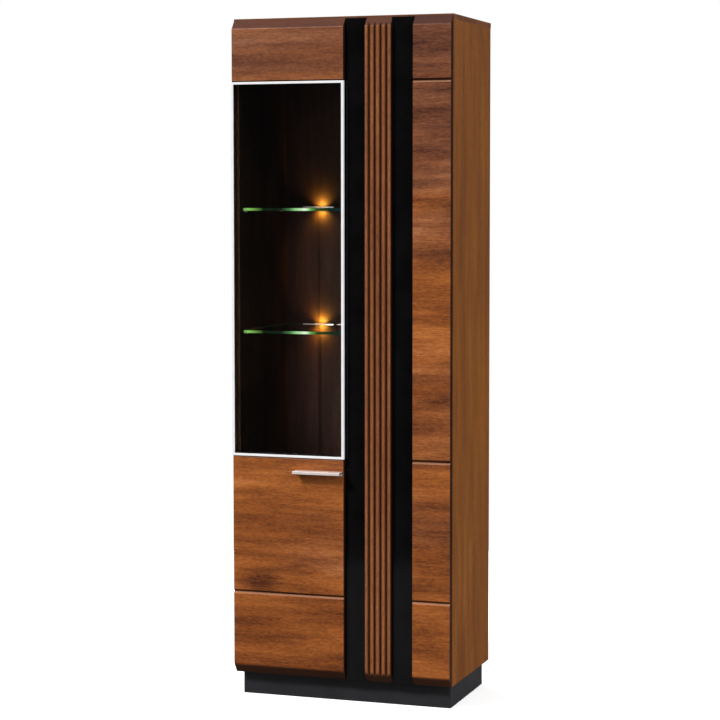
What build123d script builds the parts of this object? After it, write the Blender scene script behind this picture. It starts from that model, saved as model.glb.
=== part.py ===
"""China cabinet with a glazed door, a fluted solid door and a recessed plinth.

Frame: +Z up, +X to the cabinet's right as one faces it, doors towards -Y.
Origin: centre of the footprint, on the floor. Units: millimetres.
"""
import os

from build123d import *

os.makedirs("parts", exist_ok=True)

# ---- driving dimensions -------------------------------------------------
width = 670.0
height = 2000.0
side_depth = 390.0
board = 16.0
back_thick = 3.0
door_thick = 22.0
door_gap = 2.0
handle_reach = 30.0
trim_proud = 3.0
plinth_height = 70.0
plinth_recess_front = 27.0
plinth_recess_back = 30.0
plinth_recess_side = 13.0

door_reveal = 1.5
door_top = 1995.0
left_door_right = 11.0
right_door_left = 15.0
partition_left = 5.0
black_thick = 6.0
black_top = 1994.0
flute_left, flute_right = 77.0, 154.5
column_left = 221.0

window_low, window_high = 720.5, 1815.5
trim_face = 7.0
fixed_shelf_top = 680.0
lower_shelf_top = 383.0
glass_shelf_tops = {"glass_shelf_upper": 1449.0, "glass_shelf_lower": 1088.0}
glass_shelf_thick = 8.0
upper_shelf_tops = [1006.0, 1332.0, 1658.0]
groove_heights = [315.5, 722.5, 1812.5]

left_hinge_heights = [130.0, 640.0, 1900.0]
right_hinge_heights = [130.0, 640.0, 1270.0, 1900.0]

# ---- derived planes -----------------------------------------------------
depth = handle_reach + door_thick + door_gap + side_depth + back_thick
carcass_front = -depth / 2 + handle_reach + door_thick + door_gap
side_back = carcass_front + side_depth
cabinet_back = side_back + back_thick
door_back = carcass_front - door_gap
door_front = door_back - door_thick
outer = width / 2
inner = outer - board
door_edge = outer - door_reveal
partition_right = partition_left + board
carcass_bottom = plinth_height
floor_top = carcass_bottom + board
ceiling = height - board


def save(piece, node):
    """Label a finished piece and write it as its own node."""
    piece.part.label = node
    export_step(piece.part, f"parts/{node}.step")


def block(x0, x1, y0, y1, z0, z1, mode=Mode.ADD):
    """A rectangular block between two corners, inside the current part."""
    with BuildSketch(Plane.XY.offset(z0)) as outline:
        with Locations(((x0 + x1) / 2, (y0 + y1) / 2)):
            Rectangle(x1 - x0, y1 - y0)
    extrude(outline.sketch, amount=z1 - z0, mode=mode)


def disc(centre_x, centre_z, y, radius, length, mode=Mode.ADD):
    """A round boss or hole starting at depth y and running towards -Y."""
    with BuildSketch(Plane.XZ.offset(-y)) as outline:
        with Locations((centre_x, centre_z)):
            Circle(radius)
    extrude(outline.sketch, amount=length, mode=mode)


def peg(x, centre_y, centre_z, radius, length, mode=Mode.ADD):
    """A round peg or hole starting at x and running along +X, or -X if negative."""
    with BuildSketch(Plane.YZ.offset(x)) as outline:
        with Locations((centre_y, centre_z)):
            Circle(radius)
    extrude(outline.sketch, amount=length, mode=mode)


def upright_disc(x, y, z, radius, length, mode=Mode.ADD):
    """A round disc or pocket starting at height z and running along +Z."""
    with BuildSketch(Plane.XY.offset(z)) as outline:
        with Locations((x, y)):
            Circle(radius)
    extrude(outline.sketch, amount=length, mode=mode)


# ---- places shared between pieces ---------------------------------------
edge_ease = 0.8
shelf_play = 1.0
wood_shelf_front = carcass_front + 22.0
glass_shelf_front = carcass_front + 20.0
glass_shelf_back = carcass_front + 367.0

left_bay = (-inner, partition_left)
right_bay = (partition_right, inner)

pin_radius = 2.5
pin_shank, pin_head = 7.0, 9.0
pin_inset_front, pin_inset_back = 38.0, 330.0
pin_depths = [carcass_front + pin_inset_front, carcass_front + pin_inset_back]

wood_shelf_undersides = {
    "left": [lower_shelf_top - board],
    "right": [top - board for top in [lower_shelf_top] + upper_shelf_tops],
}
glass_shelf_undersides = [top - glass_shelf_thick for top in glass_shelf_tops.values()]
left_pin_heights = [z - pin_radius for z in wood_shelf_undersides["left"] + glass_shelf_undersides]
right_pin_heights = [z - pin_radius for z in wood_shelf_undersides["right"]]

cam_radius, cam_depth, cam_play = 7.5, 12.0, 0.1
cam_inset = 24.0
slot_half, slot_width, slot_depth = 5.0, 1.6, 2.0
cam_depths = [carcass_front + 50.0, carcass_front + 340.0]


def pin_holes(x, direction, heights):
    """Drill the blind pin holes of one bay wall; direction points into the board."""
    for z in heights:
        for y in pin_depths:
            peg(x, y, z, pin_radius, direction * pin_shank, Mode.SUBTRACT)


def cam_spots(bay):
    """Plan positions of the four cam fittings under a board that fills a bay."""
    return [(x, y) for x in (bay[0] + cam_inset, bay[1] - cam_inset) for y in cam_depths]


def cam_pockets(bay, z):
    """Pockets for cam fittings in a board's underside."""
    for x, y in cam_spots(bay):
        upright_disc(x, y, z, cam_radius + cam_play, cam_depth + cam_play, Mode.SUBTRACT)


# ---- carcass ------------------------------------------------------------
for node, x0, x1, hole_x, direction, heights in (
    ("side_panel_left", -outer, -inner, -inner, -1, left_pin_heights),
    ("side_panel_right", inner, outer, inner, 1, right_pin_heights),
):
    with BuildPart() as side_panel:
        block(x0, x1, carcass_front, side_back, carcass_bottom, ceiling)
        fillet(side_panel.edges().filter_by(Axis.Z).group_by(Axis.Y)[0], edge_ease)
        pin_holes(hole_x, direction, heights)
    save(side_panel, node)

with BuildPart() as top_board:
    block(-outer, outer, carcass_front, cabinet_back, ceiling, height)
    fillet(top_board.edges().group_by(Axis.Z)[-1], edge_ease)
save(top_board, "top_board")

with BuildPart() as bottom_board:
    block(-inner, inner, carcass_front, side_back, carcass_bottom, floor_top)
    cam_pockets((-inner, inner), carcass_bottom)
save(bottom_board, "bottom_board")

latch_height = 1020.0
catch_height = 560.0
latch_setback = 4.0

with BuildPart() as centre_partition:
    block(partition_left, partition_right, carcass_front, side_back, floor_top, ceiling)
    pin_holes(partition_left, 1, left_pin_heights)
    pin_holes(partition_right, -1, right_pin_heights)
save(centre_partition, "centre_partition")

back_inset = 2.0
back_seam = (partition_left + partition_right) / 2
seam_half = 0.5
grommet_x, grommet_z = -200.0, 500.0
grommet_radius, grommet_bore = 16.0, 12.0

with BuildPart() as back_panel_left:
    block(-outer + back_inset, back_seam - seam_half, side_back, cabinet_back,
          carcass_bottom + back_inset, ceiling)
    disc(grommet_x, grommet_z, cabinet_back, grommet_radius, back_thick, Mode.SUBTRACT)
save(back_panel_left, "back_panel_left")

with BuildPart() as back_panel_right:
    block(back_seam + seam_half, outer - back_inset, side_back, cabinet_back,
          carcass_bottom + back_inset, ceiling)
save(back_panel_right, "back_panel_right")

# ---- fixed shelves, with a cable notch behind the display section --------
lead_x = -210.0
lead_width, lead_thick = 4.0, 1.2
lead_pitch = 6.0
notch_width, notch_depth = 24.0, 5.0
shelf_low = fixed_shelf_top - board

with BuildPart() as fixed_shelf_left:
    block(*left_bay, carcass_front, side_back, shelf_low, fixed_shelf_top)
    block(
        lead_x - notch_width / 2, lead_x + notch_width / 2, side_back - notch_depth, side_back,
        shelf_low, fixed_shelf_top, Mode.SUBTRACT,
    )
    cam_pockets(left_bay, shelf_low)
save(fixed_shelf_left, "fixed_shelf_left")

with BuildPart() as fixed_shelf_right:
    block(*right_bay, carcass_front, side_back, shelf_low, fixed_shelf_top)
    cam_pockets(right_bay, shelf_low)
save(fixed_shelf_right, "fixed_shelf_right")

with BuildPart() as cam_fittings:
    for bay, z in (((-inner, inner), carcass_bottom), (left_bay, shelf_low), (right_bay, shelf_low)):
        for x, y in cam_spots(bay):
            upright_disc(x, y, z, cam_radius, cam_depth)
            block(x - slot_half, x + slot_half, y - slot_width / 2, y + slot_width / 2, z, z + slot_depth,
                  Mode.SUBTRACT)
            block(x - slot_width / 2, x + slot_width / 2, y - slot_half, y + slot_half, z, z + slot_depth,
                  Mode.SUBTRACT)
save(cam_fittings, "cam_fittings")

# ---- adjustable shelves and their pins -----------------------------------
shelf_back_play = 2.0
glass_play, glass_corner, glass_arris = 2.0, 3.0, 0.6


def wood_shelf(bay, top, node):
    """An adjustable shelf resting on four pins, set back behind the doors and hinges."""
    with BuildPart() as shelf:
        block(bay[0] + shelf_play, bay[1] - shelf_play, wood_shelf_front, side_back - shelf_back_play,
              top - board, top)
        fillet(shelf.edges().filter_by(Axis.X).group_by(Axis.Y)[0], edge_ease)
    save(shelf, node)


wood_shelf(left_bay, lower_shelf_top, "lower_shelf_left")
wood_shelf(right_bay, lower_shelf_top, "lower_shelf_right")
for number, top in enumerate(upper_shelf_tops, start=1):
    wood_shelf(right_bay, top, f"upper_shelf_right_{number}")

for node, top in glass_shelf_tops.items():
    with BuildPart() as glass_shelf:
        block(left_bay[0] + glass_play, left_bay[1] - glass_play, glass_shelf_front, glass_shelf_back,
              top - glass_shelf_thick, top)
        fillet(glass_shelf.edges().filter_by(Axis.Z), glass_corner)
        chamfer(glass_shelf.edges().group_by(Axis.Z)[-1], glass_arris)
    save(glass_shelf, node)


def pins(bay, undersides):
    """Four pins under each shelf of a bay: a shank in the wall and a stub under the shelf."""
    for underside in undersides:
        z = underside - pin_radius
        for y in pin_depths:
            for wall, away in ((bay[0], 1), (bay[1], -1)):
                peg(wall, y, z, pin_radius, -away * pin_shank)
                peg(wall, y, z, pin_radius, away * pin_head)


with BuildPart() as wood_shelf_pins:
    pins(left_bay, wood_shelf_undersides["left"])
    pins(right_bay, wood_shelf_undersides["right"])
save(wood_shelf_pins, "wood_shelf_pins")

with BuildPart() as glass_shelf_pins:
    pins(left_bay, glass_shelf_undersides)
save(glass_shelf_pins, "glass_shelf_pins")

# ---- plinth --------------------------------------------------------------
plinth_front = carcass_front + plinth_recess_front
plinth_back = cabinet_back - plinth_recess_back
plinth_outer = outer - plinth_recess_side
plinth_inner = plinth_outer - board

with BuildPart() as plinth_front_board:
    block(-plinth_outer, plinth_outer, plinth_front, plinth_front + board, 0, plinth_height)
    fillet(plinth_front_board.edges().filter_by(Axis.Z).group_by(Axis.Y)[0], edge_ease)
save(plinth_front_board, "plinth_front")

with BuildPart() as plinth_back_board:
    block(-plinth_outer, plinth_outer, plinth_back - board, plinth_back, 0, plinth_height)
save(plinth_back_board, "plinth_back")

for node, x0 in (("plinth_left", -plinth_outer), ("plinth_right", plinth_inner)):
    with BuildPart() as plinth_side_board:
        block(x0, x0 + board, plinth_front + board, plinth_back - board, 0, plinth_height)
    save(plinth_side_board, node)

block_size, block_height = 40.0, 60.0
with BuildPart() as plinth_blocks:
    for x0 in (-plinth_inner, plinth_inner - block_size):
        for y0 in (plinth_front + board, plinth_back - board - block_size):
            block(x0, x0 + block_size, y0, y0 + block_size, plinth_height - block_height, plinth_height)
save(plinth_blocks, "plinth_blocks")

# ---- lighting ------------------------------------------------------------
clip_x, clip_length = -203.0, 100.0
clip_front, clip_behind = 12.0, 8.0
clip_wall, clip_round = 1.5, 1.2
lens_length, lens_depth, lens_height = 30.0, 5.0, 1.0
lens_front = glass_shelf_back + 1.0

for node, shelf in (("led_clip_upper", "glass_shelf_upper"), ("led_clip_lower", "glass_shelf_lower")):
    top = glass_shelf_tops[shelf]
    low = top - glass_shelf_thick
    with BuildPart() as led_clip:
        block(clip_x - clip_length / 2, clip_x + clip_length / 2, glass_shelf_back - clip_front,
              glass_shelf_back + clip_behind, low - clip_wall, top + clip_wall)
        block(clip_x - clip_length / 2, clip_x + clip_length / 2, glass_shelf_back - clip_front,
              glass_shelf_back, low, top, Mode.SUBTRACT)
        fillet(led_clip.edges().filter_by(Axis.X).group_by(Axis.Y)[-1], clip_round)
    save(led_clip, node)

with BuildPart() as led_lenses:
    for top in glass_shelf_tops.values():
        for z in (top + clip_wall, top - glass_shelf_thick - clip_wall - lens_height):
            block(clip_x - lens_length / 2, clip_x + lens_length / 2, lens_front, lens_front + lens_depth,
                  z, z + lens_height)
save(led_lenses, "led_lenses")

driver_length, driver_height, driver_depth, driver_round = 150.0, 36.0, 22.0, 3.0
driver_top = 620.0
for node, shelf, x in (
    ("led_lead_upper", "glass_shelf_upper", lead_x - lead_pitch / 2),
    ("led_lead_lower", "glass_shelf_lower", lead_x + lead_pitch / 2),
):
    exit_height = glass_shelf_tops[shelf] - glass_shelf_thick / 2
    with BuildPart() as led_lead:
        block(x - lead_width / 2, x + lead_width / 2, side_back - lead_thick, side_back,
              driver_top, exit_height + lead_width / 2)
        block(x - lead_width / 2, x + lead_width / 2, glass_shelf_back + clip_behind, side_back,
              exit_height - lead_thick / 2, exit_height + lead_thick / 2)
    save(led_lead, node)

socket_width, socket_height, socket_depth = 16.0, 9.0, 12.0
with BuildPart() as led_driver:
    block(lead_x - driver_length / 2, lead_x + driver_length / 2, side_back - driver_depth, side_back,
          driver_top - driver_height, driver_top)
    fillet(led_driver.edges().filter_by(Axis.Z).group_by(Axis.Y)[0], driver_round)
    socket_x = lead_x + driver_length / 2
    socket_z = driver_top - driver_height / 2
    block(socket_x - socket_depth, socket_x, side_back - driver_depth / 2 - socket_height / 2,
          side_back - driver_depth / 2 + socket_height / 2, socket_z - socket_width / 2,
          socket_z + socket_width / 2, Mode.SUBTRACT)
save(led_driver, "led_driver")

grommet_flange, flange_thick = 19.0, 1.5
with BuildPart() as cable_grommet:
    disc(grommet_x, grommet_z, cabinet_back, grommet_radius, back_thick)
    disc(grommet_x, grommet_z, side_back, grommet_flange, flange_thick)
    disc(grommet_x, grommet_z, cabinet_back, grommet_bore, back_thick + flange_thick, Mode.SUBTRACT)
save(cable_grommet, "cable_grommet")

# ---- cross-section of the wooden door fronts ------------------------------
top_slope_start, top_slope_round, top_land = 1970.0, 8.0, 2.0
bottom_slope_end, bottom_slope_round = 98.0, 18.0
joint_bevel = 4.0
front_ease = 1.2
groove_half, groove_depth, groove_floor = 6.0, 6.0, 1.0


def wood_front(x0, x1, low, high, grooves=()):
    """A wooden front board, sloped at the cabinet's top and bottom and bevelled where it meets the window."""
    at_top = high == door_top
    at_bottom = low == carcass_bottom
    with BuildSketch(Plane.YZ.offset(x0)) as section:
        with BuildLine():
            outline = [(door_back, low), (door_back, high)]
            if at_top:
                outline += [(door_back - top_land, high), (door_front, top_slope_start)]
            else:
                outline += [(door_front + joint_bevel, high), (door_front, high - joint_bevel)]
            if at_bottom:
                outline += [(door_front, bottom_slope_end), (door_back - top_land, low)]
            else:
                outline += [(door_front, low + joint_bevel), (door_front + joint_bevel, low)]
            Polyline(*outline, close=True)
        make_face()
        if at_top:
            fillet(section.vertices().group_by(Axis.X)[0].sort_by(Axis.Y)[-1], top_slope_round)
        if at_bottom:
            fillet(section.vertices().group_by(Axis.X)[0].sort_by(Axis.Y)[0], bottom_slope_round)
    board_edges = extrude(section.sketch, amount=x1 - x0).edges()
    chamfer(board_edges.filter_by(Axis.Z).group_by(Axis.Y)[0], front_ease)
    for z in grooves:
        with BuildSketch(Plane.YZ.offset(x0)) as groove:
            with BuildLine():
                Polyline(
                    (door_front, z + groove_half), (door_front + groove_depth, z + groove_floor),
                    (door_front + groove_depth, z - groove_floor), (door_front, z - groove_half), close=True,
                )
            make_face()
        extrude(groove.sketch, amount=x1 - x0, mode=Mode.SUBTRACT)


# ---- hinge cups let into the doors ----------------------------------------
cup_radius, cup_depth, cup_wall, cup_floor = 17.5, 16.0, 0.8, 0.8
cup_inset = 20.5
cup_play = 0.1
pivot_inset, pivot_setback = 6.5, 13.5
flange_width, flange_height, cup_flange, flange_shift = 15.0, 58.0, 1.0, 5.0
hinge_pin_radius, eye_bore, eye_radius, pin_half = 1.2, 1.25, 2.1, 8.5
neck_half_height, neck_thick = 3.5, 1.6
neck_inset = 22.5


def hinge_x(side, inset):
    """X of a point at a distance from a door's hinge edge; side is -1 on the left, 1 on the right."""
    return side * (door_edge - inset)


def cup_recesses(side, heights):
    """Round recesses for the hinge cups, cut from the back of a door board."""
    for z in heights:
        disc(hinge_x(side, cup_inset), z, door_back, cup_radius + cup_play, cup_depth + cup_play,
             Mode.SUBTRACT)


def hinge_cups(side, heights, node):
    """Cups with their screwed flanges and hinge pins; they move with the door."""
    pin_y = carcass_front - pivot_setback
    with BuildPart() as cups:
        for z in heights:
            cup_x = hinge_x(side, cup_inset)
            flange_x = hinge_x(side, cup_inset + flange_shift)
            disc(cup_x, z, door_back, cup_radius, cup_depth)
            block(flange_x - flange_width / 2, flange_x + flange_width / 2, door_back, door_back + cup_flange,
                  z - flange_height / 2, z + flange_height / 2)
            disc(cup_x, z, door_back + cup_flange, cup_radius - cup_wall, cup_flange + cup_depth - cup_floor,
                 Mode.SUBTRACT)
            upright_disc(hinge_x(side, pivot_inset), pin_y, z - pin_half, hinge_pin_radius, 2 * pin_half)
    save(cups, node)


arm_inset = (17.0, 25.0)
arm_reach = (5.0, 60.0)
arm_half_height = 6.0
plate_inset = (board - door_reveal, 17.0)
plate_reach = (8.0, 58.0)
plate_half_height, plate_end = 18.0, 14.0


def hinge_arms(side, heights, node):
    """Goose-neck arms fixed to the carcass: an eye on the pin, a neck through the cup and a body behind."""
    pin_x, pin_y = hinge_x(side, pivot_inset), carcass_front - pivot_setback
    neck_x = hinge_x(side, neck_inset)
    with BuildPart() as arms:
        for z in heights:
            low, high = z - neck_half_height, z + neck_half_height
            upright_disc(pin_x, pin_y, low, eye_radius, high - low)
            neck = sorted((pin_x, neck_x - side * neck_thick / 2))
            block(neck[0], neck[1], pin_y - neck_thick / 2, pin_y + neck_thick / 2, low, high)
            block(neck_x - neck_thick / 2, neck_x + neck_thick / 2, pin_y - neck_thick / 2,
                  carcass_front + arm_reach[0], low, high)
            body = sorted(hinge_x(side, inset) for inset in arm_inset)
            block(body[0], body[1], carcass_front + arm_reach[0], carcass_front + arm_reach[1],
                  z - arm_half_height, z + arm_half_height)
            upright_disc(pin_x, pin_y, low, eye_bore, high - low, Mode.SUBTRACT)
    save(arms, node)


def hinge_plates(side, heights, node):
    """Cross-shaped mounting plates screwed to the side panel's inner face."""
    with BuildPart() as plates:
        for z in heights:
            base = sorted(hinge_x(side, inset) for inset in plate_inset)
            low_y, high_y = carcass_front + plate_reach[0], carcass_front + plate_reach[1]
            block(base[0], base[1], low_y, high_y, z - arm_half_height, z + arm_half_height)
            block(base[0], base[1], low_y + plate_end, high_y - plate_end,
                  z - plate_half_height, z + plate_half_height)
    save(plates, node)


for side, name, heights in ((-1, "left", left_hinge_heights), (1, "right", right_hinge_heights)):
    hinge_cups(side, heights, f"hinge_cups_{name}")
    hinge_arms(side, heights, f"hinge_arms_{name}")
    hinge_plates(side, heights, f"hinge_plates_{name}")

# ---- left door: wooden boards above and below a framed window --------------
handle_right = 9.0
handle_length = 146.0
handle_top = 684.0
handle_lip = 8.5
handle_sheet = 3.0
handle_root = 12.0
handle_boss, boss_radius = 9.0, 3.5
handle_ease = 1.0
screw_radius, screw_bore, screw_head = 2.0, 2.05, 4.0
screw_head_depth, screw_recess = 3.0, 0.5
screw_end_play = 1.0
handle_screw_inset = 25.0
handle_left = handle_right - handle_length
handle_screw_x = [handle_left + handle_screw_inset, handle_right - handle_screw_inset]
handle_screw_z = handle_top - 6.5

with BuildPart() as left_door_top_panel:
    wood_front(-door_edge, left_door_right, window_high, door_top)
    cup_recesses(-1, [z for z in left_hinge_heights if z > window_high])
save(left_door_top_panel, "left_door_top_panel")

with BuildPart() as left_door_lower_panel:
    wood_front(-door_edge, left_door_right, carcass_bottom, window_low, [groove_heights[0]])
    cup_recesses(-1, [z for z in left_hinge_heights if z < window_low])
    for x in handle_screw_x:
        disc(x, handle_screw_z, door_back, screw_bore, door_thick, Mode.SUBTRACT)
        disc(x, handle_screw_z, door_back, screw_head + cup_play, screw_head_depth, Mode.SUBTRACT)
save(left_door_lower_panel, "left_door_lower_panel")

trim_lap = 2.0
trim_left, trim_right = -outer, left_door_right + trim_lap
view_left, view_right = trim_left + trim_face, trim_right - trim_face
view_low, view_high = window_low + trim_face, window_high - trim_face
rebate = 3.5
gasket_thick, glass_thick, retainer_thick = 0.8, 4.0, 1.2
glass_recess = gasket_thick + glass_thick + retainer_thick
glass_face = door_back - retainer_thick - glass_thick
corner_play = 0.05


def rebated(x0, x1, z0, z1):
    """Cut the stepped seat that holds the gasket, the pane and its retainers from behind."""
    block(x0, x1, door_back - glass_recess, door_back, z0, z1, Mode.SUBTRACT)


with BuildPart() as window_liner_stiles:
    block(-door_edge, view_left, door_front, door_back, window_low, window_high)
    block(view_right, left_door_right, door_front, door_back, window_low, window_high)
    rebated(view_left - rebate, view_right + rebate, view_low - rebate, view_high + rebate)
save(window_liner_stiles, "window_liner_stiles")

with BuildPart() as window_liner_rails:
    block(view_left, view_right, door_front, door_back, window_low, view_low)
    block(view_left, view_right, door_front, door_back, view_high, window_high)
    rebated(view_left, view_right, view_low - rebate, view_high + rebate)
save(window_liner_rails, "window_liner_rails")

return_depth, trim_ease = 7.0, 0.6


def mitred_bars(along_z):
    """Two opposite bars of the aluminium trim, mitred at the window's corners."""
    with BuildSketch(Plane.XZ.offset(-door_front)) as face:
        with BuildLine():
            if along_z:
                Polyline((trim_left, window_low), (view_left, view_low), (view_left, view_high),
                         (trim_left, window_high), close=True)
            else:
                Polyline((trim_left, window_low), (trim_right, window_low), (view_right, view_low),
                         (view_left, view_low), close=True)
        make_face()
        middle = ((trim_left + trim_right) / 2, (window_low + window_high) / 2)
        mirror(about=Plane.YZ.offset(middle[0]) if along_z else Plane.XZ.offset(-middle[1]))
    extrude(face.sketch, amount=trim_proud)


with BuildPart() as window_trim_stiles:
    mitred_bars(True)
    block(trim_left, -door_edge, door_front, door_front + return_depth, window_low, window_high)
    block(left_door_right, trim_right, door_front, door_front + return_depth, window_low, window_high)
    chamfer(window_trim_stiles.edges().filter_by(Axis.Z).group_by(Axis.Y)[0], trim_ease)
save(window_trim_stiles, "window_trim_stiles")

with BuildPart() as window_trim_rails:
    mitred_bars(False)
    chamfer(window_trim_rails.edges().filter_by(Axis.X).group_by(Axis.Y)[0], trim_ease)
save(window_trim_rails, "window_trim_rails")


def window_ring(front, thick, node):
    """Four strips round the pane, in the window's stepped seat."""
    low_x, high_x = view_left - rebate, view_right + rebate
    low_z, high_z = view_low - rebate, view_high + rebate
    with BuildPart() as ring:
        block(low_x, view_left, front, front + thick, low_z, high_z)
        block(view_right, high_x, front, front + thick, low_z, high_z)
        block(view_left + corner_play, view_right - corner_play, front, front + thick, low_z, view_low)
        block(view_left + corner_play, view_right - corner_play, front, front + thick, view_high, high_z)
    save(ring, node)


window_ring(glass_face - gasket_thick, gasket_thick, "glazing_gasket")
window_ring(door_back - retainer_thick, retainer_thick, "glass_retainers")

with BuildPart() as window_glass:
    block(view_left - rebate, view_right + rebate, glass_face, glass_face + glass_thick,
          view_low - rebate, view_high + rebate)
save(window_glass, "window_glass")

with BuildPart() as door_handle:
    block(handle_left, handle_right, door_front - handle_reach, door_front,
          handle_top - handle_sheet, handle_top)
    block(handle_left, handle_right, door_front - handle_reach, door_front - handle_reach + handle_sheet,
          handle_top - handle_lip, handle_top)
    block(handle_left, handle_right, door_front - handle_sheet, door_front,
          handle_top - handle_root, handle_top)
    for x in handle_screw_x:
        disc(x, handle_screw_z, door_front, boss_radius, handle_boss)
    fillet(door_handle.edges().filter_by(Axis.X).group_by(Axis.Y)[0], handle_ease)
    for x in handle_screw_x:
        disc(x, handle_screw_z, door_front, screw_bore, handle_boss - screw_end_play, Mode.SUBTRACT)
save(door_handle, "door_handle")

with BuildPart() as handle_screws:
    for x in handle_screw_x:
        disc(x, handle_screw_z, door_back - screw_recess, screw_radius,
             door_thick + handle_boss - 2 * screw_end_play)
        disc(x, handle_screw_z, door_back - screw_recess, screw_head, screw_head_depth - screw_recess)
save(handle_screws, "handle_screws")

# ---- right door: black boards, fluted strip and wooden column --------------
black_low, black_ease = carcass_bottom + 1.0, 0.8
for node, x0, x1 in (("black_panel_inner", right_door_left, flute_left),
                     ("black_panel_outer", flute_right, column_left)):
    with BuildPart() as black_panel:
        block(x0, x1, door_back - black_thick, door_back, black_low, black_top)
        fillet(black_panel.edges().filter_by(Axis.X).group_by(Axis.Y)[0], black_ease)
    save(black_panel, node)

rib_count, rib_pitch = 5, 17.4
valley_depth, valley_floor, crest_half = 7.5, 1.0, 3.2
flute_middle = (flute_left + flute_right) / 2
with BuildPart() as fluted_strip:
    wood_front(flute_left, flute_right, carcass_bottom, door_top)
    for number in range(rib_count - 1):
        x = flute_middle + (number - (rib_count - 2) / 2) * rib_pitch
        half = rib_pitch / 2 - crest_half
        with BuildSketch(Plane.XY.offset(carcass_bottom)) as valley:
            with BuildLine():
                Polyline((x - half, door_front), (x - valley_floor, door_front + valley_depth),
                         (x + valley_floor, door_front + valley_depth), (x + half, door_front), close=True)
            make_face()
        extrude(valley.sketch, amount=door_top - carcass_bottom, mode=Mode.SUBTRACT)
save(fluted_strip, "fluted_strip")

with BuildPart() as right_door_column:
    wood_front(column_left, door_edge, carcass_bottom, door_top, groove_heights)
    cup_recesses(1, right_hinge_heights)
save(right_door_column, "right_door_column")

# ---- magnetic catch of the left door, push latch of the right door ---------
catch_width, catch_length, catch_tall, catch_setback = 12.0, 30.0, 40.0, 2.0
magnet_reach, magnet_inset, magnet_back, magnet_half = 2.8, 2.0, 4.0, 14.0
strike_half, strike_radius = 18.0, 5.5
strike_thick, strike_gap = 0.8, 0.3

with BuildPart() as magnet_catch:
    catch_face = carcass_front + catch_setback
    block(partition_left - catch_width, partition_left, catch_face, catch_face + catch_length,
          catch_height - catch_tall / 2, catch_height + catch_tall / 2)
    block(partition_left - catch_width + magnet_inset, partition_left - magnet_back,
          catch_face - magnet_reach, catch_face, catch_height - magnet_half, catch_height + magnet_half)
save(magnet_catch, "magnet_catch")

with BuildPart() as catch_strike:
    block(partition_left - catch_width, partition_left, door_back, door_back + strike_thick,
          catch_height - strike_half, catch_height + strike_half)
save(catch_strike, "catch_strike")

latch_size, latch_length, latch_half = 11.0, 70.0, 7.0
latch_x = partition_right + latch_size / 2
plunger_radius, plunger_play, plunger_travel = 3.0, 0.05, 3.0
plunger_inside, plunger_end_play, plunger_ease = 30.0, 1.0, 0.6
plunger_bore = plunger_inside + plunger_travel + plunger_end_play

with BuildPart() as latch_housing:
    block(partition_right, partition_right + latch_size, carcass_front + latch_setback,
          carcass_front + latch_setback + latch_length, latch_height - latch_half, latch_height + latch_half)
    disc(latch_x, latch_height, carcass_front + latch_setback + plunger_bore,
         plunger_radius + plunger_play, plunger_bore, Mode.SUBTRACT)
save(latch_housing, "latch_housing")

with BuildPart() as latch_plunger:
    tip = door_back + strike_thick + strike_gap
    disc(latch_x, latch_height, carcass_front + latch_setback + plunger_inside, plunger_radius,
         carcass_front + latch_setback + plunger_inside - tip)
    fillet(latch_plunger.edges().filter_by(GeomType.CIRCLE).sort_by(Axis.Y)[0], plunger_ease)
save(latch_plunger, "latch_plunger")

with BuildPart() as latch_strike:
    disc(latch_x, latch_height, door_back + strike_thick, strike_radius, strike_thick)
save(latch_strike, "latch_strike")
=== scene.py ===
"""Looks for the china cabinet: materials, small fittings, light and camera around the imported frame."""
import math

import bmesh
import bpy
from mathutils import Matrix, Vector


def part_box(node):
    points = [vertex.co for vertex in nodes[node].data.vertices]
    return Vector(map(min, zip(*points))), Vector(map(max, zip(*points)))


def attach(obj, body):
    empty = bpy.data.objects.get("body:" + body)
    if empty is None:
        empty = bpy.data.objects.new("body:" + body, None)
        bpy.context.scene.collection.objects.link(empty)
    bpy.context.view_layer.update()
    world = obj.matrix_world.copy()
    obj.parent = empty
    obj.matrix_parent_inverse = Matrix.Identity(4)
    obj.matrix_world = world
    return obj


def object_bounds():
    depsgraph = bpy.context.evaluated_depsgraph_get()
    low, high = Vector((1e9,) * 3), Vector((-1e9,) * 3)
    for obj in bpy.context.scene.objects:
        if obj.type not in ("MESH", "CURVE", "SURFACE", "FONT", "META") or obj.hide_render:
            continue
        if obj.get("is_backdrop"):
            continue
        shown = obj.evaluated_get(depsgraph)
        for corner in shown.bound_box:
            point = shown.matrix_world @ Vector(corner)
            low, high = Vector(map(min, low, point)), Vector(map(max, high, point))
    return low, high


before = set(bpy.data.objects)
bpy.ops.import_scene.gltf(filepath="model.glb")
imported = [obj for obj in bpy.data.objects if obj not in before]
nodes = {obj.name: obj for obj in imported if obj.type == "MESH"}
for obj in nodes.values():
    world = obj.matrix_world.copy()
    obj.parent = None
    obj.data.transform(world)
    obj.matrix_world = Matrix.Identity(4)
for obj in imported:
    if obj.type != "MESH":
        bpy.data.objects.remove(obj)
cad_low, cad_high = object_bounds()
scene = bpy.context.scene

MM = 0.001


# ---- node helpers ---------------------------------------------------------
def srgb(red, green, blue):
    """An eight-bit display colour as the linear RGBA that shaders use."""
    def linear(value):
        value /= 255
        return value / 12.92 if value <= 0.04045 else ((value + 0.055) / 1.055) ** 2.4
    return (linear(red), linear(green), linear(blue), 1.0)


def shaded(colour, factor):
    """A linear colour made darker or lighter."""
    return tuple(min(1.0, channel * factor) for channel in colour[:3]) + (1.0,)


def grey(value):
    """A linear grey."""
    return (value, value, value, 1.0)


BLACK = grey(0.0)


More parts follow.
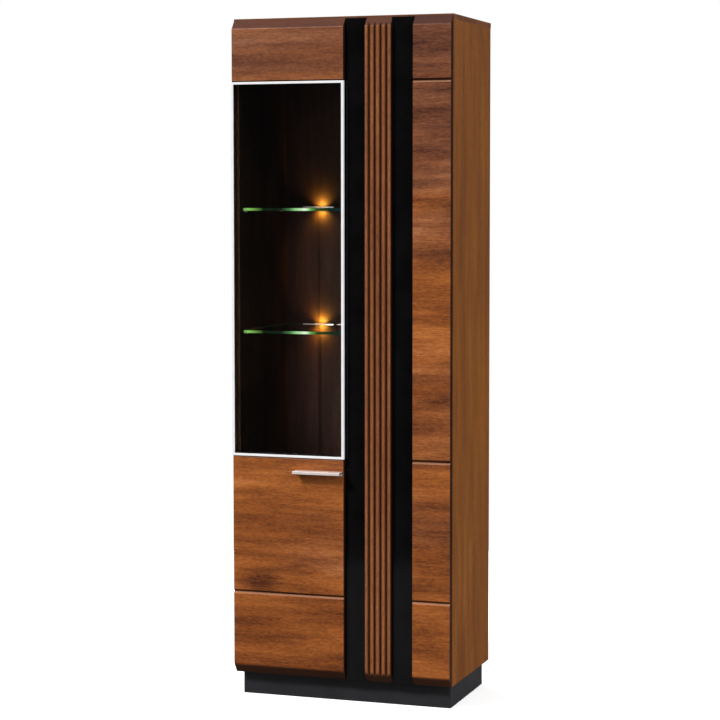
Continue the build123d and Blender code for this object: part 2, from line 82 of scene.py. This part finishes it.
class Tree:
    """A small wrapper that adds nodes to one node tree and links them."""

    def __init__(self, tree):
        self.tree = tree

    def add(self, kind, inputs=None, **settings):
        node = self.tree.nodes.new(kind)
        for key, value in settings.items():
            setattr(node, key, value)
        for key, value in (inputs or {}).items():
            self.plug(node.inputs[key], value)
        return node

    def plug(self, socket, value):
        if isinstance(value, bpy.types.NodeSocket):
            self.tree.links.new(value, socket)
        else:
            socket.default_value = value

    def math(self, operation, a, b=0.0, clamp=False):
        node = self.add("ShaderNodeMath", operation=operation, use_clamp=clamp)
        self.plug(node.inputs[0], a)
        self.plug(node.inputs[1], b)
        return node.outputs[0]

    def span(self, value, low, high, to_low=0.0, to_high=1.0):
        """Map a range of values onto another, clamped."""
        return self.add("ShaderNodeMapRange", {"Value": value, "From Min": low, "From Max": high,
                                               "To Min": to_low, "To Max": to_high}).outputs["Result"]

    def ramp(self, value, stops):
        """Turn a value into a colour; stops lists places and linear colours."""
        node = self.add("ShaderNodeValToRGB", {"Fac": value})
        points = node.color_ramp.elements
        while len(points) < len(stops):
            points.new(0.5)
        for point, (place, colour) in zip(points, stops):
            point.position = place
            point.color = colour
        return node.outputs["Color"]

    def mix(self, factor, a, b):
        """Blend two colours; the mix node's colour sockets are 6, 7 and output 2."""
        node = self.add("ShaderNodeMix", data_type="RGBA")
        self.plug(node.inputs[0], factor)
        self.plug(node.inputs[6], a)
        self.plug(node.inputs[7], b)
        return node.outputs[2]


class Graph(Tree):
    """One material's node tree around its Principled shader."""

    def __init__(self, name):
        self.material = bpy.data.materials.new(name)
        self.material.use_nodes = True
        super().__init__(self.material.node_tree)
        self.shader = self.tree.nodes["Principled BSDF"]
        place = self.add("ShaderNodeTexCoord")
        self.coordinates = place.outputs["Object"]
        self.facing = place.outputs["Normal"]

    def stretch(self, scale, offset=(0, 0, 0)):
        """Object coordinates, scaled per axis and moved."""
        return self.add("ShaderNodeMapping", {"Vector": self.coordinates, "Scale": scale,
                                              "Location": offset}).outputs["Vector"]

    def noise(self, vector, scale, detail=2.0, roughness=0.5, distortion=0.0):
        node = self.add("ShaderNodeTexNoise", {"Vector": vector, "Scale": scale, "Detail": detail,
                                               "Roughness": roughness, "Distortion": distortion})
        return node.outputs["Fac"]

    def axis(self, letter):
        """One object coordinate, in metres."""
        return self.add("ShaderNodeSeparateXYZ", {"Vector": self.coordinates}).outputs[letter]

    def slope(self, letter):
        """One component of the surface's direction, in object space."""
        return self.add("ShaderNodeSeparateXYZ", {"Vector": self.facing}).outputs[letter]

    def blend_tone(self, colour, where, strength, tone):
        """Blend a display colour in where a mask is set; mostly used for painted light and shade."""
        return self.mix(self.math("MULTIPLY", where, strength), colour, srgb(*tone))

    def bump(self, height, distance, strength):
        normal = self.add("ShaderNodeBump", {"Height": height, "Distance": distance, "Strength": strength})
        self.plug(self.shader.inputs["Normal"], normal.outputs["Normal"])

    def finish(self, **sockets):
        """Set or link the shader's sockets and give the material back."""
        for key, value in sockets.items():
            self.plug(self.shader.inputs[key.replace("_", " ")], value)
        return self.material


TONE_PLACES = (0.12, 0.42, 0.64, 0.92)
LOWEST_GROOVE, GROOVE_HALF = 315.5 * MM, 1.5 * MM
PORE_DEPTH = 0.2 * MM
BRUSH_ALONG, BRUSH_ACROSS, BRUSH_DEPTH = 6.0, 2600.0, 0.02 * MM
TOP_SLOPE_REACH = 45 * MM


def wood(name, along, tones, seed, cool=None, lift=0.0, drift=1.0, grain=1.0, knots=0.0, foot=0.0,
         gloss=0.42, shine=0.12, recolour=None):
    """Stained veneer.

    tones runs dark, middle, light, glow; cool is the same in a colder tone, which takes over in patches and
    towards the top.
    lift makes the board paler, drift scales the slow change of tone, grain the fine streaks and knots the
    dark smudges. foot changes the tone under the lowest groove. gloss is the middle tone's roughness and
    shine the specular level. recolour, if given, changes the colour on some faces, for a different finish
    or for painted light and shade.
    """
    graph = Graph(name)

    def streaks(lengthwise, crosswise, detail=2.0, roughness=0.5, distortion=0.0):
        """Noise drawn out along the grain; both numbers are features per metre."""
        scale = [lengthwise if letter == along else crosswise for letter in "XYZ"]
        place = graph.stretch(scale, (seed * 3.7, seed * 5.3, seed * 2.9))
        return graph.noise(place, 1.0, detail, roughness, distortion)

    slow = streaks(1.6, 9.0, 3.0, 0.5, 0.4)
    bands = streaks(2.6, 34.0, 2.0, 0.5, 0.3)
    fibres = streaks(15.0, 230.0, 3.0, 0.6)
    flecks = streaks(75.0, 290.0, 2.0, 0.65)
    figure = graph.math("SINE", graph.math("MULTIPLY", streaks(1.2, 6.5, 2.0, 0.4, 0.6), 70.0))
    level = graph.span(slow, 0.30, 0.70, 0.5 + lift - 0.22 * drift, 0.5 + lift + 0.22 * drift)
    for part, reach in ((bands, 0.12 * drift), (fibres, 0.08 * grain), (flecks, 0.12 * grain)):
        level = graph.math("ADD", level, graph.span(part, 0.3, 0.7, -reach, reach))
    level = graph.math("ADD", level, graph.math("MULTIPLY", figure, 0.025 * grain))
    if knots:
        spots = graph.add("ShaderNodeTexVoronoi", {
            "Vector": graph.stretch([0.6 if letter == along else 1.0 for letter in "XYZ"], (seed,) * 3),
            "Scale": 4.2})
        smudge = graph.span(spots.outputs["Distance"], 0.05, 0.22, 1.0, 0.0)
        level = graph.math("SUBTRACT", level, graph.math("MULTIPLY", smudge, knots))
    if foot:
        below = graph.span(graph.axis("Z"), LOWEST_GROOVE - GROOVE_HALF, LOWEST_GROOVE + GROOVE_HALF,
                           foot, 0.0)
        level = graph.math("ADD", level, below)
    # With cool, the board also gets darker towards the top.
    if cool:
        level = graph.math("SUBTRACT", level, graph.span(graph.axis("Z"), 1.5, 1.95, 0.0, 0.14))
    colour = graph.ramp(level, [(place, srgb(*tone)) for place, tone in zip(TONE_PLACES, tones)])
    if cool:
        cold = graph.ramp(level, [(place, srgb(*tone)) for place, tone in zip(TONE_PLACES, cool)])
        height = graph.span(graph.axis("Z"), 1.25, 1.95, -0.10, 0.55)
        patch = graph.span(streaks(1.2, 7.0, 2.0, 0.5, 0.5), 0.38, 0.66)
        share = graph.math("ADD", graph.math("MULTIPLY", patch, 0.55), height, clamp=True)
        colour = graph.mix(share, colour, cold)
    pores = graph.span(streaks(38.0, 760.0, 1.0), 0.34, 0.42)
    pore_tone = graph.mix(0.30, colour, srgb(30, 12, 6))
    colour = graph.mix(graph.math("SUBTRACT", 1.0, pores), colour, pore_tone)
    if recolour:
        colour = recolour(graph, colour)
    graph.bump(graph.math("ADD", pores, graph.math("MULTIPLY", fibres, 0.6)), PORE_DEPTH, 0.4)
    return graph.finish(Base_Color=colour, Roughness=graph.span(level, 0.3, 0.7, gloss + 0.08, gloss - 0.04),
                        Specular_IOR_Level=shine)


def slopes_painted_light_and_shade(graph, colour):
    """Door fronts: painted shade in the grooves' hollows, on faces turned down and on the boards' sides, a
    painted highlight on faces turned up below the top, and a darker, more purple tone on the top slope."""
    near_top = graph.math("GREATER_THAN", graph.axis("Z"), cad_high.z - TOP_SLOPE_REACH)
    upward = graph.span(graph.slope("Z"), 0.25, 0.55)
    downward = graph.span(graph.slope("Z"), -0.25, -0.55)
    sideways = graph.span(graph.math("ABSOLUTE", graph.slope("X")), 0.90, 0.97)
    top_slope = graph.math("MULTIPLY", upward, near_top)
    lip = graph.math("SUBTRACT", upward, near_top, clamp=True)
    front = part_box("right_door_column")[0].y
    sunk = graph.span(graph.axis("Y"), front + 1 * MM, front + 6 * MM)
    hollow = graph.math("MULTIPLY", sunk, graph.math("SUBTRACT", 1.0, top_slope, clamp=True))
    # hollow, downward and sideways get painted shade and lip a painted highlight; top_slope only a darker
    # tone.
    for where, strength, tone in ((hollow, 0.62, (30, 12, 4)), (lip, 0.28, (196, 150, 124)),
                                  (top_slope, 0.79, (60, 35, 31)), (sideways, 0.85, (30, 14, 9)),
                                  (downward, 0.66, (34, 15, 8))):
        colour = graph.blend_tone(colour, where, strength, tone)
    return colour


def ribs_painted_light_and_shade(graph, colour):
    """The fluted strip: a painted highlight on the slopes facing left and painted shade on those facing
    right.
    """
    colour = slopes_painted_light_and_shade(graph, colour)
    colour = graph.blend_tone(colour, graph.span(graph.slope("X"), -0.2, -0.7), 0.12, (176, 112, 78))
    return graph.blend_tone(colour, graph.span(graph.slope("X"), 0.2, 0.7), 0.35, (40, 18, 10))


def dark_inside(graph, colour):
    """Side panels: the face towards the compartments is the dark interior foil."""
    reach = graph.math("ABSOLUTE", graph.axis("X"))
    inner_face = abs(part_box("side_panel_left")[1].x)
    inside = graph.math("LESS_THAN", reach, inner_face + 0.2 * MM)
    return graph.mix(inside, colour, graph.mix(0.88, colour, srgb(12, 8, 9)))


def bare_rear(graph, colour):
    """Back panels: the face towards the wall is bare hardboard."""
    rear = graph.span(graph.slope("Y"), 0.4, 0.6)
    mottle = graph.ramp(graph.noise(graph.coordinates, 160.0, 4.0, 0.7),
                        [(0.35, srgb(104, 74, 48)), (0.65, srgb(134, 98, 66))])
    return graph.mix(rear, colour, mottle)


def handle_painted_shade(graph, colour):
    """The handle: painted shade on its ends and underside, which are darker than the brushed top and lip."""
    end = graph.span(graph.math("ABSOLUTE", graph.slope("X")), 0.5, 0.8)
    under = graph.span(graph.slope("Z"), -0.3, -0.7)
    return graph.blend_tone(colour, graph.math("MAXIMUM", end, under), 0.95, (24, 19, 18))


def speckled(name, colour, rough, scale=900.0, depth=0.03 * MM, vary=0.12, shine=0.5):
    """Moulded or painted stuff: a fine texture, slight colour variation and uneven gloss."""
    graph = Graph(name)
    grit = graph.noise(graph.coordinates, scale, 2.0)
    cloud = graph.noise(graph.coordinates, 14.0, 4.0)
    paint = graph.ramp(cloud, [(0.3, shaded(colour, 1 - vary)), (0.7, shaded(colour, 1 + vary))])
    graph.bump(grit, depth, 0.6)
    return graph.finish(Base_Color=paint, Specular_IOR_Level=shine,
                        Roughness=graph.span(cloud, 0.3, 0.7, rough * 0.85, rough * 1.15))


def brushed(name, along, colour, rough, metallic, recolour=None):
    """Metal with fine parallel brush lines along one axis; recolour, if given, changes the colour."""
    graph = Graph(name)
    scale = [BRUSH_ALONG if letter == along else BRUSH_ACROSS for letter in "XYZ"]
    lines = graph.noise(graph.stretch(scale), 1.0, 3.0)
    cloud = graph.noise(graph.coordinates, 30.0, 3.0)
    shade = graph.math("ADD", graph.span(lines, 0.3, 0.7, -0.35, 0.35), cloud)
    metal = graph.ramp(shade, [(0.2, shaded(colour, 0.86)), (0.8, colour)])
    if recolour:
        metal = recolour(graph, metal)
    graph.bump(lines, BRUSH_DEPTH, 0.5)
    return graph.finish(Base_Color=metal, Metallic=metallic,
                        Roughness=graph.span(lines, 0.3, 0.7, rough * 0.8, rough * 1.25))


# ---- materials ------------------------------------------------------------
front_tones = [(74, 34, 15), (122, 66, 28), (148, 84, 38), (176, 108, 56)]
front_cool = [(60, 32, 25), (100, 60, 43), (124, 79, 56), (150, 103, 76)]
flute_tones = [(90, 49, 26), (122, 72, 42), (140, 87, 53), (166, 111, 74)]
side_tones = [(84, 44, 12), (106, 60, 18), (120, 71, 24), (138, 86, 36)]
top_tones = [(74, 42, 26), (94, 56, 34), (108, 66, 42), (124, 80, 52)]
dark_tones = [(14, 9, 10), (22, 14, 15), (30, 19, 19), (42, 26, 24)]
back_tones = [(18, 11, 11), (29, 17, 16), (39, 24, 21), (52, 32, 27)]
pine_tones = [(150, 112, 70), (176, 136, 90), (196, 158, 108), (214, 180, 130)]

materials = {
    "front_wood_upper": wood("front_wood_upper", "X", front_tones, 3.1, cool=front_cool, lift=0.20,
                             knots=0.10, recolour=slopes_painted_light_and_shade),
    "front_wood_lower": wood("front_wood_lower", "X", front_tones, 21.3, cool=front_cool, lift=0.04,
                             knots=0.35, foot=-0.09, recolour=slopes_painted_light_and_shade),
    "front_wood_column": wood("front_wood_column", "X", front_tones, 12.4, cool=front_cool, lift=-0.03,
                              knots=0.15, foot=0.06, drift=1.1, recolour=slopes_painted_light_and_shade),
    "fluted_wood": wood("fluted_wood", "Z", flute_tones, 5.2, drift=0.5, recolour=ribs_painted_light_and_shade),
    "side_wood": wood("side_wood", "Z", side_tones, 1.4, drift=0.8, grain=0.6, gloss=0.6,
                      recolour=dark_inside),
    "top_wood": wood("top_wood", "X", top_tones, 2.6, grain=0.5, shine=0.15),
    "interior_wood": wood("interior_wood", "Z", dark_tones, 4.3, grain=0.6),
    "interior_shelf": wood("interior_shelf", "X", dark_tones, 6.9, grain=0.6),
    "back_wood": wood("back_wood", "Z", back_tones, 8.8, grain=0.7, gloss=0.55, shine=0.1,
                      recolour=bare_rear),
    "block_wood": wood("block_wood", "X", pine_tones, 9.9, gloss=0.7),
    "black_gloss": speckled("black_gloss", srgb(11, 10, 11), 0.08, scale=60.0, depth=0.005 * MM,
                            vary=0.25, shine=0.2),
    "plinth_black": speckled("plinth_black", srgb(34, 33, 36), 0.5, scale=1200.0, shine=0.25),
    "window_black": speckled("window_black", srgb(14, 13, 13), 0.4, shine=0.25),
    "trim": brushed("trim", "Z", srgb(236, 236, 237), 0.45, 0.1),
    "handle": brushed("handle", "X", srgb(226, 213, 208), 0.4, 0.35, recolour=handle_painted_shade),
    "steel": brushed("steel", "Y", srgb(176, 176, 180), 0.35, 0.7),
    # recess colours the screws' dark crosses: painted shade for their driver recesses.
    "recess": speckled("recess", srgb(30, 29, 29), 0.6),
    "rubber": speckled("rubber", srgb(18, 17, 17), 0.7),
    "lead": speckled("lead", srgb(24, 14, 11), 0.8, shine=0.1),
    "plastic_black": speckled("plastic_black", srgb(28, 27, 27), 0.5),
    "plastic_grey": speckled("plastic_grey", srgb(112, 112, 115), 0.45),
}


def clear_glass(name, tint):
    """Window glass, very slightly uneven in tint."""
    graph = Graph(name)
    smear = graph.noise(graph.coordinates, 3.0, 3.0)
    return graph.finish(Base_Color=graph.ramp(smear, [(0.3, tint), (0.7, grey(1.0))]), Roughness=0.0,
                        Transmission_Weight=1.0, IOR=1.45)


materials["pane"] = clear_glass("pane", (0.97, 0.985, 0.98, 1))


GLASS_EDGE = 0.4 * MM
# The painted glow along the shelf glass's front edge.
EDGE_GLOW = [
    (0.00, (96, 150, 72)), (0.05, (138, 200, 100)), (0.13, (92, 140, 60)), (0.20, (12, 28, 14)),
    (0.38, (14, 26, 16)), (0.46, (70, 120, 70)), (0.52, (150, 214, 140)), (0.575, (190, 236, 176)),
    (0.60, (240, 252, 230)), (0.63, (206, 244, 196)), (0.66, (110, 180, 90)), (0.72, (30, 66, 22)),
    (0.86, (10, 34, 26)), (1.00, (16, 52, 48)),
]


def edge_lit_glass():
    """Shelf glass: its front edge has a painted green glow, emission standing in for the clip's light leaving
    it, and the left and rear edges a faint one. EDGE_GLOW lists the front edge's display colours from left to
    right."""
    graph = Graph("shelf_glass")
    low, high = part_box("glass_shelf_upper")
    along = graph.span(graph.axis("X"), low.x, high.x)
    edge = graph.math("LESS_THAN", graph.axis("Y"), low.y + GLASS_EDGE)
    glow = graph.ramp(along, [(place, srgb(*tone)) for place, tone in EDGE_GLOW])
    smear = graph.noise(graph.coordinates, 3.0, 3.0)
    tint = graph.ramp(smear, [(0.3, (0.84, 0.96, 0.89, 1)), (0.7, (0.90, 0.98, 0.93, 1))])
    rim = graph.math("MAXIMUM", graph.math("LESS_THAN", graph.axis("X"), low.x + GLASS_EDGE),
                     graph.math("GREATER_THAN", graph.axis("Y"), high.y - GLASS_EDGE))
    lit = graph.mix(edge, graph.mix(rim, BLACK, srgb(22, 56, 32)), glow)
    return graph.finish(Base_Color=graph.mix(edge, tint, srgb(10, 30, 20)), Roughness=0.0,
                        Transmission_Weight=graph.math("SUBTRACT", 1.0, edge), IOR=1.5,
                        Emission_Color=lit, Emission_Strength=1.0)


materials["shelf_glass"] = edge_lit_glass()


def lit_clip():
    """Satin chrome clip: its front lip has a painted glow in small sparkles, for the light that runs through
    the glass.
    """
    graph = Graph("chrome")
    low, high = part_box("led_clip_upper")
    lines = graph.noise(graph.stretch((BRUSH_ALONG, BRUSH_ACROSS, BRUSH_ACROSS)), 1.0, 3.0)
    edge = graph.math("LESS_THAN", graph.axis("Y"), low.y + 0.3 * MM)
    along = graph.span(graph.axis("X"), low.x, high.x)
    sparkle = graph.noise(graph.stretch((420.0, 0.0, 0.0)), 1.0, 2.0)
    glow = graph.ramp(along, [(0.0, srgb(110, 108, 104)), (0.35, srgb(170, 165, 156)),
                              (0.55, srgb(214, 196, 160)), (0.75, srgb(206, 203, 198)),
                              (1.0, srgb(176, 174, 170))])
    lit = graph.mix(graph.span(sparkle, 0.35, 0.62), graph.mix(0.55, glow, BLACK), glow)
    graph.bump(lines, BRUSH_DEPTH, 0.5)
    satin = graph.ramp(lines, [(0.2, srgb(196, 196, 200)), (0.8, srgb(222, 222, 224))])
    return graph.finish(Base_Color=satin, Metallic=0.8, Roughness=graph.span(lines, 0.3, 0.7, 0.15, 0.25),
                        Emission_Color=graph.mix(edge, BLACK, lit), Emission_Strength=0.9)


materials["chrome"] = lit_clip()


def lens():
    """Lit warm lens with a dotted pattern."""
    graph = Graph("led_lens")
    dots = graph.add("ShaderNodeTexVoronoi", {"Vector": graph.coordinates, "Scale": 90.0})
    warm = graph.ramp(dots.outputs["Distance"], [(0.0, (1.0, 0.62, 0.22, 1)), (0.8, (1.0, 0.42, 0.08, 1))])
    return graph.finish(Base_Color=warm, Emission_Color=warm, Emission_Strength=0.5, Roughness=0.3)


materials["lens"] = lens()

finish_of = {
    "left_door_top_panel": "front_wood_upper", "left_door_lower_panel": "front_wood_lower",
    "right_door_column": "front_wood_column", "fluted_strip": "fluted_wood",
    "side_panel_left": "side_wood", "side_panel_right": "side_wood", "top_board": "top_wood",
    "bottom_board": "interior_shelf", "centre_partition": "interior_wood",
    "back_panel_left": "back_wood", "back_panel_right": "back_wood",
    "plinth_blocks": "block_wood", "black_panel_inner": "black_gloss", "black_panel_outer": "black_gloss",
    "window_liner_stiles": "window_black", "window_liner_rails": "window_black",
    "window_trim_stiles": "trim", "window_trim_rails": "trim", "door_handle": "handle",
    "window_glass": "pane", "glazing_gasket": "rubber", "glass_retainers": "plastic_black",
    "led_lenses": "lens", "led_driver": "plastic_black", "cable_grommet": "plastic_black",
    "magnet_catch": "plastic_grey", "latch_housing": "plastic_grey", "latch_plunger": "plastic_grey",
}
finish_of_start = {
    "fixed_shelf": "interior_shelf", "lower_shelf": "interior_shelf", "upper_shelf": "interior_shelf",
    "plinth_": "plinth_black", "glass_shelf_u": "shelf_glass", "glass_shelf_l": "shelf_glass",
    "led_clip": "chrome", "led_lead": "lead",
}
for node in nodes:
    for start, finish in finish_of_start.items():
        if node.startswith(start):
            finish_of.setdefault(node, finish)
    for slot in nodes[node].material_slots:
        slot.material = materials[finish_of.get(node, "steel")]


# ---- small fittings ----------------------------------------------------------
def clusters(node, gap=100 * MM):
    """The boxes of a node's groups of geometry, lowest first; groups are over a gap apart in height."""
    corners = sorted((nodes[node].matrix_world @ vertex.co for vertex in nodes[node].data.vertices),
                     key=lambda corner: corner.z)
    groups = [[corners[0]]]
    for corner in corners[1:]:
        if corner.z - groups[-1][-1].z > gap:
            groups.append([])
        groups[-1].append(corner)
    return [(Vector(map(min, zip(*group))), Vector(map(max, zip(*group)))) for group in groups]


def lathe(mesh, place, direction, outline, sides=24):
    """A closed turned shape: outline lists (radius, height) from its seat to its tip along direction."""
    turn = Vector((0, 0, 1)).rotation_difference(Vector(direction)).to_matrix()
    spokes = [2 * math.pi * step / sides for step in range(sides)]
    rings = [[mesh.verts.new(Vector(place) + turn @ Vector((
        radius * math.cos(spoke), radius * math.sin(spoke), height))) for spoke in spokes]
        for radius, height in outline]
    mesh.faces.new(reversed(rings[0]))
    for lower, upper in zip(rings, rings[1:]):
        for step in range(sides):
            after = (step + 1) % sides
            mesh.faces.new((lower[step], lower[after], upper[after], upper[step])).smooth = True
    mesh.faces.new(rings[-1])


def cross(mesh, place, direction, reach, half, low, high):
    """A closed plus-shaped prism between two heights, a dark cross as painted shade for a screw's driver
    recess.
    """
    turn = Vector((0, 0, 1)).rotation_difference(Vector(direction)).to_matrix()
    corners = [(half, half), (half, reach), (-half, reach), (-half, half), (-reach, half), (-reach, -half),
               (-half, -half), (-half, -reach), (half, -reach), (half, -half), (reach, -half), (reach, half)]
    rings = [[mesh.verts.new(Vector(place) + turn @ Vector((x, y, height))) for x, y in corners]
             for height in (low, high)]
    faces = [mesh.faces.new(reversed(rings[0])), mesh.faces.new(rings[1])]
    for step in range(len(corners)):
        after = (step + 1) % len(corners)
        faces.append(mesh.faces.new((rings[0][step], rings[0][after], rings[1][after], rings[1][step])))
    for face in faces:
        face.material_index = 1


def fitting(name, mesh, body, looks):
    """Turn a bmesh into a piece that rides on a body."""
    data = bpy.data.meshes.new(name)
    mesh.to_mesh(data)
    mesh.free()
    for look in looks:
        data.materials.append(materials[look])
    piece = bpy.data.objects.new(name, data)
    scene.collection.objects.link(piece)
    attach(piece, body)


DOME = ((1.0, 0.0), (1.0, 0.3), (0.94, 0.55), (0.78, 0.8), (0.5, 0.95), (0.2, 1.0))


def screws(name, body, seats, radius, height):
    """Domed screw heads, each with a dark cross as painted shade for the driver recess; seats lists places
    and directions.
    """
    mesh = bmesh.new()
    for place, direction in seats:
        lathe(mesh, place, direction, [(radius * share, height * rise) for share, rise in DOME])
        cross(mesh, place, direction, radius * 0.56, radius * 0.13, height * 0.5, height * 1.04)
    fitting(name, mesh, body, ("steel", "recess"))


PLATE_INSET = 5.5 * MM
ARM_NEAR, ARM_FAR = 44 * MM, 16 * MM
FLANGE_REACH, FLANGE_INSET = 22.5 * MM, 5 * MM
for side, name, door in ((-1, "left", "left_door"), (1, "right", "right_door")):
    inwards = (-side, 0, 0)
    plate_seats, arm_seats, cup_seats = [], [], []
    for low, high in clusters(f"hinge_plates_{name}"):
        face = low.x if side > 0 else high.x
        for z in (low.z + PLATE_INSET, high.z - PLATE_INSET):
            plate_seats.append(((face, (low.y + high.y) / 2, z), inwards))
    for low, high in clusters(f"hinge_arms_{name}"):
        face = low.x if side > 0 else high.x
        for y in (high.y - ARM_FAR, high.y - ARM_NEAR):
            arm_seats.append(((face, y, (low.z + high.z) / 2), inwards))
    for low, high in clusters(f"hinge_cups_{name}"):
        flange = high.x - FLANGE_REACH if side > 0 else low.x + FLANGE_REACH
        for z in (low.z + FLANGE_INSET, high.z - FLANGE_INSET):
            cup_seats.append(((flange, high.y, z), (0, 1, 0)))
    screws(f"hinge_plate_screws_{name}", "cabinet", plate_seats, 3.6 * MM, 1.6 * MM)
    screws(f"hinge_arm_screws_{name}", "cabinet", arm_seats, 2.8 * MM, 1.0 * MM)
    screws(f"hinge_cup_screws_{name}", door, cup_seats, 3.4 * MM, 1.2 * MM)


def petals(name, middle, bore, near, far, count=6):
    """Rubber petals that close the cable outlet, with slits between them for a plug lead."""
    mesh = bmesh.new()
    tip, slit, arc_steps = 0.5 * MM, math.radians(1.5), 4
    share = 2 * math.pi / count
    arc_step = (share - 2 * slit) / arc_steps
    for number in range(count):
        outline = [(tip, (number + 0.5) * share)]
        outline += [(bore, number * share + slit + arc_step * step) for step in range(arc_steps + 1)]
        rings = [[mesh.verts.new((middle.x + radius * math.cos(turn), depth,
                                  middle.z + radius * math.sin(turn))) for radius, turn in outline]
                 for depth in (near, far)]
        mesh.faces.new(rings[0])
        mesh.faces.new(reversed(rings[1]))
        for step in range(len(outline)):
            after = (step + 1) % len(outline)
            mesh.faces.new((rings[0][step], rings[1][step], rings[1][after], rings[0][after]))
    bmesh.ops.recalc_face_normals(mesh, faces=mesh.faces)
    fitting(name, mesh, "cabinet", ("rubber",))


GROMMET_BORE, PETAL_NEAR, PETAL_FAR = 12 * MM, 2.6 * MM, 1.4 * MM
low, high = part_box("cable_grommet")
petals("cable_grommet_petals", (low + high) / 2, GROMMET_BORE, high.y - PETAL_NEAR, high.y - PETAL_FAR)


# ---- light inside the cabinet ----------------------------------------------
def small_light(name, place, turn, size, energy, colour, spread, glint=1.0):
    """A rectangular lamp that shines along its own -Z; turn and spread are in degrees."""
    data = bpy.data.lights.new(name, "AREA")
    data.shape = "RECTANGLE"
    data.size, data.size_y = size
    data.energy = energy
    data.color = colour
    data.spread = math.radians(spread)
    data.specular_factor = glint
    lamp = bpy.data.objects.new(name, data)
    lamp.location = place
    lamp.rotation_euler = [math.radians(angle) for angle in turn]
    scene.collection.objects.link(lamp)


# The clips' lenses throw a warm glow on the back panel, upwards and downwards.
LED_COLOUR, LED_ENERGY, LED_SIZE, LED_SPREAD = (1.0, 0.54, 0.05), 0.26, (20 * MM, 4 * MM), 130
LED_CLEARANCE, LED_FROM_BACK = 2.5 * MM, 2 * MM
for clip in ("led_clip_upper", "led_clip_lower"):
    low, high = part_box(clip)
    for name, z, tilt in (("up", high.z + LED_CLEARANCE, 140), ("down", low.z - LED_CLEARANCE, 40)):
        small_light(f"{clip}_{name}", ((low.x + high.x) / 2, high.y - LED_FROM_BACK, z), (tilt, 0, 0),
                    LED_SIZE, LED_ENERGY, LED_COLOUR, LED_SPREAD)

# Two fills stand in for the daylight that passes the pane; they stay behind the shelves' front edges.
FILL_COLOUR, FILL_WIDTH, FILL_SPREAD, FILL_HEADING = (1.0, 0.75, 0.60), 100 * MM, 100, -24
FILL_FROM_LEFT, FILL_FROM_FRONT = 100 * MM, 32 * MM
low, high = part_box("glass_shelf_lower")
for name, z, tall, energy in (("lower", 1.05, 0.75, 1.05), ("upper", 1.63, 0.30, 0.11)):
    small_light(f"bay_fill_{name}", (low.x + FILL_FROM_LEFT, low.y + FILL_FROM_FRONT, z),
                (90, 0, FILL_HEADING), (FILL_WIDTH, tall), energy, FILL_COLOUR, FILL_SPREAD, glint=0.0)


# ---- studio -----------------------------------------------------------------
# The floor is pale to the camera and dark as a reflector, so that little light comes back up from it.
FLOOR_RADIUS, FLOOR_SIDES, FLOOR_GLOW, FLOOR_BOUNCE = 2.6, 96, 0.3, grey(0.2)
floor_mesh = bpy.data.meshes.new("studio_floor")
rim = [(FLOOR_RADIUS * math.cos(turn), FLOOR_RADIUS * math.sin(turn), 0)
       for turn in (2 * math.pi * step / FLOOR_SIDES for step in range(FLOOR_SIDES))]
floor_mesh.from_pydata(rim, [], [tuple(range(FLOOR_SIDES))])
floor = bpy.data.objects.new("studio_floor", floor_mesh)
scene.collection.objects.link(floor)
floor_look = Graph("studio_floor")
pale = floor_look.ramp(floor_look.noise(floor_look.coordinates, 0.7),
                       [(0.3, grey(0.93)), (0.7, grey(0.96))])
seen = floor_look.add("ShaderNodeLightPath").outputs["Is Camera Ray"]
floor_mesh.materials.append(floor_look.finish(
    Base_Color=floor_look.mix(seen, FLOOR_BOUNCE, pale), Roughness=0.9, Specular_IOR_Level=0.0,
    Emission_Color=floor_look.mix(seen, BLACK, pale), Emission_Strength=FLOOR_GLOW))
floor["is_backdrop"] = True

# The backdrop is white to the camera, directly or through clear glass, dark in reflections and grey as light.
AMBIENT, MIRRORED = 0.42, 0.02
world = bpy.data.worlds.new("studio")
scene.world = world
world.use_nodes = True
sky = Tree(world.node_tree)
rays = sky.add("ShaderNodeLightPath").outputs
unbounced = sky.math("LESS_THAN", sky.math("ADD", rays["Diffuse Depth"], rays["Glossy Depth"]), 0.5)
through_glass = sky.math("MULTIPLY", rays["Is Transmission Ray"], unbounced)
in_view = sky.math("ADD", through_glass, rays["Is Camera Ray"])
level = sky.mix(rays["Is Glossy Ray"], grey(AMBIENT), grey(MIRRORED))
sky.plug(sky.tree.nodes["Background"].inputs["Color"], sky.mix(in_view, level, grey(1.0)))


def soft_sun(name, azimuth, elevation, strength, spread):
    """A broad distant light; azimuth 0 is straight in front of the doors, positive to the right."""
    a, e = math.radians(azimuth), math.radians(elevation)
    away = Vector((math.sin(a) * math.cos(e), -math.cos(a) * math.cos(e), math.sin(e)))
    data = bpy.data.lights.new(name, "SUN")
    data.angle = math.radians(spread)
    data.energy = strength
    lamp = bpy.data.objects.new(name, data)
    lamp.location = away * 4
    lamp.rotation_euler = (-away).to_track_quat("-Z", "Y").to_euler()
    scene.collection.objects.link(lamp)


soft_sun("key", -36, 42, 3.3, 12)
soft_sun("right_fill", 72, 22, 2.35, 40)
soft_sun("back_left", -130, 35, 1.0, 40)
soft_sun("back_right", 150, 35, 1.0, 40)

# ---- camera -----------------------------------------------------------------
DOWNWARD, ROLL, HEADING = 3.879, 0.03, 18.868
camera_data = bpy.data.cameras.new("camera")
camera_data.sensor_width = 36.0
camera_data.lens = 109.03
camera_data.shift_y = -0.03
camera = bpy.data.objects.new("camera", camera_data)
camera.location = (2.0926, -6.1328, 1.500)
camera.rotation_euler = [math.radians(angle) for angle in (90 - DOWNWARD, ROLL, HEADING)]
scene.collection.objects.link(camera)
scene.camera = camera
scene.view_settings.view_transform = "Standard"

low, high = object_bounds()
